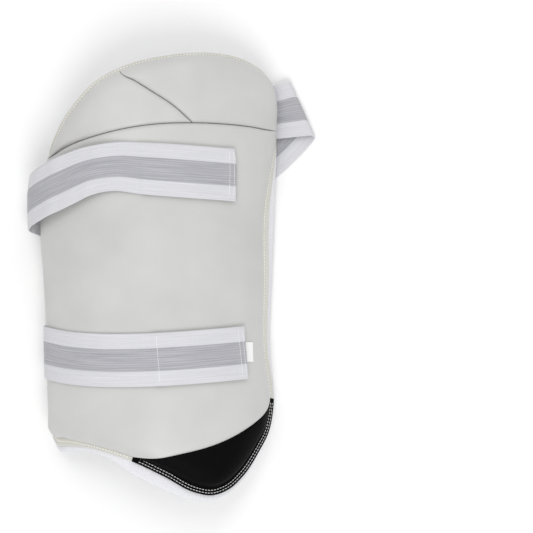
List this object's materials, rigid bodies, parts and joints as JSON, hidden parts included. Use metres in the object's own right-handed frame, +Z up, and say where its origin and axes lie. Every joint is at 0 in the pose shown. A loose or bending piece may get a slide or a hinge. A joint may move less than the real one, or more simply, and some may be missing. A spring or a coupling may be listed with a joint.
{
  "type": "thigh pad",
  "caption": "Arched outer thigh pad for batting: moulded face cushions, black toe, stitched edge, soft white liner and elastic straps closed on the face.",
  "frame": {"origin": "on the floor, under the middle of the whole pad with its straps, the pad lying face up on the edges of its liner and on the straps", "axes": "+X across the pad towards the loose strap loop, +Y along the pad towards the rounded hip end, +Z up through the face"},
  "size_m": [0.2814, 0.4304, 0.085],
  "materials": {
    "face": "soft matte synthetic leather over moulded foam",
    "toe": "finely embossed black synthetic leather",
    "flange": "soft matte, stitched",
    "towelling": "soft brushed cloth over foam",
    "webbing": "ribbed elastic webbing with a grey stripe",
    "hook": "hook tape",
    "label": "smooth woven label, bare"
  },
  "bodies": {
    "root": {"main_pad": "face", "hip_pad_left": "face", "hip_pad_right": "face", "toe_pad": "toe", "edge_binding": "flange", "back_liner": "towelling", "upper_strap": "webbing", "lower_strap": "webbing", "upper_hook_patch": "hook", "lower_hook_patch": "hook", "size_tag": "label"}
  },
  "joints": []
}
